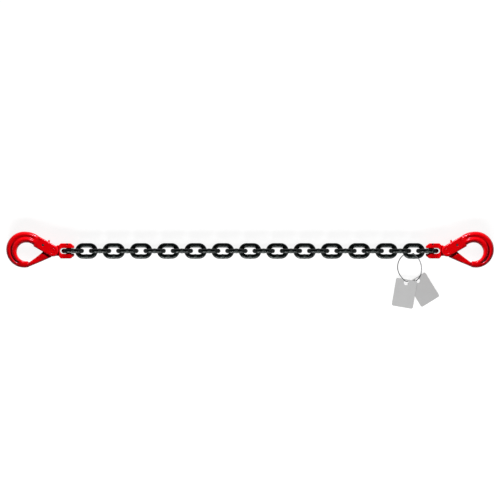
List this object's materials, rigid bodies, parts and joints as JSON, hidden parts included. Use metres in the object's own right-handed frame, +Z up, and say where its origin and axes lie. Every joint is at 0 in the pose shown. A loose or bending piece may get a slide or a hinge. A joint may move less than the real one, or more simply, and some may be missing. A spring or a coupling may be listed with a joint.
{
  "type": "lashing chain",
  "caption": "Short-link lashing chain, laid out straight, with a self-locking clevis hook at each end and blank identity plates on a wire ring near one end.",
  "frame": {"origin": "centre of the middle link, on the chain's axis", "axes": "+X along the straight chain towards the end with the identity plates, +Y across the chain in the plane of the hooks, away from the plates, +Z up: the part lies flat"},
  "size_m": [0.855, 0.1356, 0.0281],
  "materials": {
    "chain_black": "glossy black lacquer over forged steel",
    "hook_red": "gloss red powder coat over forged steel",
    "pin_red": "red powder coat",
    "pin_steel": "dark steel",
    "spring_steel": "bright spring steel",
    "ring_wire": "drawn steel wire",
    "tag_plate": "matt, blank"
  },
  "bodies": {
    "link_01": {"link_01": "chain_black"},
    "link_02": {"link_02": "chain_black"},
    "link_03": {"link_03": "chain_black"},
    "link_04": {"link_04": "chain_black"},
    "link_05": {"link_05": "chain_black"},
    "link_06": {"link_06": "chain_black"},
    "link_07": {"link_07": "chain_black"},
    "link_08": {"link_08": "chain_black"},
    "link_09": {"link_09": "chain_black"},
    "link_10": {"link_10": "chain_black"},
    "link_11": {"link_11": "chain_black"},
    "link_12": {"link_12": "chain_black"},
    "link_13": {"link_13": "chain_black"},
    "link_14": {"link_14": "chain_black"},
    "link_15": {"link_15": "chain_black"},
    "link_16": {"link_16": "chain_black"},
    "link_17": {"link_17": "chain_black"},
    "link_18": {"link_18": "chain_black"},
    "link_19": {"link_19": "chain_black"},
    "link_20": {"link_20": "chain_black"},
    "link_21": {"link_21": "chain_black"},
    "link_22": {"link_22": "chain_black"},
    "link_23": {"link_23": "chain_black"},
    "link_24": {"link_24": "chain_black"},
    "link_25": {"link_25": "chain_black"},
    "link_26": {"link_26": "chain_black"},
    "link_27": {"link_27": "chain_black"},
    "left_latch": {"left_latch_body": "hook_red", "left_load_pin": "pin_red", "left_retaining_pin": "pin_steel"},
    "left_hook": {"left_hook": "hook_red", "left_pivot_pin": "pin_red", "left_trigger_pin": "pin_steel"},
    "left_trigger": {"left_trigger": "hook_red", "left_trigger_spring": "spring_steel"},
    "right_latch": {"right_latch_body": "hook_red", "right_load_pin": "pin_red", "right_retaining_pin": "pin_steel"},
    "right_hook": {"right_hook": "hook_red", "right_pivot_pin": "pin_red", "right_trigger_pin": "pin_steel"},
    "right_trigger": {"right_trigger": "hook_red", "right_trigger_spring": "spring_steel"},
    "tag_ring": {"tag_ring": "ring_wire"},
    "tag_front": {"tag_front": "tag_plate"},
    "tag_back": {"tag_back": "tag_plate"}
  },
  "joints": [
    {"name": "left_hook_opening", "type": "hinge", "parent": "left_latch", "child": "left_hook", "pos_m": [-0.3454, 0, 0], "axis": [0, 0, -1], "range_deg": [0, 45]},
    {"name": "left_trigger_lift", "type": "hinge", "parent": "left_hook", "child": "left_trigger", "pos_m": [-0.36272, 0.01, 0], "axis": [0, 0, 1], "range_deg": [0, 10], "stiffness_Nm_per_rad": 0.05, "springref_deg": -5.73},
    {"name": "left_clevis_swing", "type": "hinge", "parent": "link_01", "child": "left_latch", "pos_m": [-0.3176, 0, 0], "axis": [0, 1, 0], "range_deg": [-60, 60]},
    {"name": "right_hook_opening", "type": "hinge", "parent": "right_latch", "child": "right_hook", "pos_m": [0.3454, 0, 0], "axis": [0, 0, 1], "range_deg": [0, 45]},
    {"name": "right_trigger_lift", "type": "hinge", "parent": "right_hook", "child": "right_trigger", "pos_m": [0.36272, 0.01, 0], "axis": [0, 0, -1], "range_deg": [0, 10], "stiffness_Nm_per_rad": 0.05, "springref_deg": -5.73},
    {"name": "right_clevis_swing", "type": "hinge", "parent": "link_27", "child": "right_latch", "pos_m": [0.3176, 0, 0], "axis": [0, 1, 0], "range_deg": [-60, 60]},
    {"name": "ring_swing", "type": "hinge", "parent": "link_26", "child": "tag_ring", "pos_m": [0.2868, -0.0098, 0], "axis": [-1, 0, 0], "range_deg": [-4, 25]},
    {"name": "tag_front_fan", "type": "hinge", "parent": "tag_ring", "child": "tag_front", "pos_m": [0.2741, -0.056, -0.0086], "axis": [-0.1129, -0.0407, 0.9928], "range_deg": [-40, 20]},
    {"name": "tag_back_fan", "type": "hinge", "parent": "tag_ring", "child": "tag_back", "pos_m": [0.2943, -0.0522, -0.0116], "axis": [0.0668, 0.0411, 0.9969], "range_deg": [-2, 40]},
    {"name": "link_15_lift", "type": "hinge", "parent": "link_14", "child": "link_15", "pos_m": [0.016, 0, 0], "axis": [0, 1, 0], "range_deg": [-75, 75]},
    {"name": "link_16_swing", "type": "hinge", "parent": "link_15", "child": "link_16", "pos_m": [0.0399, 0, 0], "axis": [0, 0, 1], "range_deg": [-75, 75]},
    {"name": "link_17_lift", "type": "hinge", "parent": "link_16", "child": "link_17", "pos_m": [0.0638, 0, 0], "axis": [0, -1, 0], "range_deg": [-75, 75]},
    {"name": "link_18_swing", "type": "hinge", "parent": "link_17", "child": "link_18", "pos_m": [0.0877, 0, 0], "axis": [0, 0, -1], "range_deg": [-75, 75]},
    {"name": "link_19_lift", "type": "hinge", "parent": "link_18", "child": "link_19", "pos_m": [0.1116, 0, 0], "axis": [0, 1, 0], "range_deg": [-75, 75]},
    {"name": "link_20_swing", "type": "hinge", "parent": "link_19", "child": "link_20", "pos_m": [0.1355, 0, 0], "axis": [0, 0, 1], "range_deg": [-75, 75]},
    {"name": "link_21_lift", "type": "hinge", "parent": "link_20", "child": "link_21", "pos_m": [0.1594, 0, 0], "axis": [0, -1, 0], "range_deg": [-75, 75]},
    {"name": "link_22_swing", "type": "hinge", "parent": "link_21", "child": "link_22", "pos_m": [0.1833, 0, 0], "axis": [0, 0, -1], "range_deg": [-75, 75]},
    {"name": "link_23_lift", "type": "hinge", "parent": "link_22", "child": "link_23", "pos_m": [0.2072, 0, 0], "axis": [0, 1, 0], "range_deg": [-75, 75]},
    {"name": "link_24_swing", "type": "hinge", "parent": "link_23", "child": "link_24", "pos_m": [0.2311, 0, 0], "axis": [0, 0, 1], "range_deg": [-75, 75]},
    {"name": "link_25_lift", "type": "hinge", "parent": "link_24", "child": "link_25", "pos_m": [0.255, 0, 0], "axis": [0, -1, 0], "range_deg": [-75, 75]},
    {"name": "link_26_swing", "type": "hinge", "parent": "link_25", "child": "link_26", "pos_m": [0.2789, 0, 0], "axis": [0, 0, -1], "range_deg": [-75, 18]},
    {"name": "link_27_lift", "type": "hinge", "parent": "link_26", "child": "link_27", "pos_m": [0.3028, 0, 0], "axis": [0, 1, 0], "range_deg": [-75, 75]},
    {"name": "link_13_lift", "type": "hinge", "parent": "link_14", "child": "link_13", "pos_m": [-0.016, 0, 0], "axis": [0, 1, 0], "range_deg": [-75, 75]},
    {"name": "link_12_swing", "type": "hinge", "parent": "link_13", "child": "link_12", "pos_m": [-0.0399, 0, 0], "axis": [0, 0, 1], "range_deg": [-75, 75]},
    {"name": "link_11_lift", "type": "hinge", "parent": "link_12", "child": "link_11", "pos_m": [-0.0638, 0, 0], "axis": [0, -1, 0], "range_deg": [-75, 75]},
    {"name": "link_10_swing", "type": "hinge", "parent": "link_11", "child": "link_10", "pos_m": [-0.0877, 0, 0], "axis": [0, 0, -1], "range_deg": [-75, 75]},
    {"name": "link_09_lift", "type": "hinge", "parent": "link_10", "child": "link_09", "pos_m": [-0.1116, 0, 0], "axis": [0, 1, 0], "range_deg": [-75, 75]},
    {"name": "link_08_swing", "type": "hinge", "parent": "link_09", "child": "link_08", "pos_m": [-0.1355, 0, 0], "axis": [0, 0, 1], "range_deg": [-75, 75]},
    {"name": "link_07_lift", "type": "hinge", "parent": "link_08", "child": "link_07", "pos_m": [-0.1594, 0, 0], "axis": [0, -1, 0], "range_deg": [-75, 75]},
    {"name": "link_06_swing", "type": "hinge", "parent": "link_07", "child": "link_06", "pos_m": [-0.1833, 0, 0], "axis": [0, 0, -1], "range_deg": [-75, 75]},
    {"name": "link_05_lift", "type": "hinge", "parent": "link_06", "child": "link_05", "pos_m": [-0.2072, 0, 0], "axis": [0, 1, 0], "range_deg": [-75, 75]},
    {"name": "link_04_swing", "type": "hinge", "parent": "link_05", "child": "link_04", "pos_m": [-0.2311, 0, 0], "axis": [0, 0, 1], "range_deg": [-75, 75]},
    {"name": "link_03_lift", "type": "hinge", "parent": "link_04", "child": "link_03", "pos_m": [-0.255, 0, 0], "axis": [0, -1, 0], "range_deg": [-75, 75]},
    {"name": "link_02_swing", "type": "hinge", "parent": "link_03", "child": "link_02", "pos_m": [-0.2789, 0, 0], "axis": [0, 0, -1], "range_deg": [-75, 75]},
    {"name": "link_01_lift", "type": "hinge", "parent": "link_02", "child": "link_01", "pos_m": [-0.3028, 0, 0], "axis": [0, 1, 0], "range_deg": [-75, 75]}
  ]
}
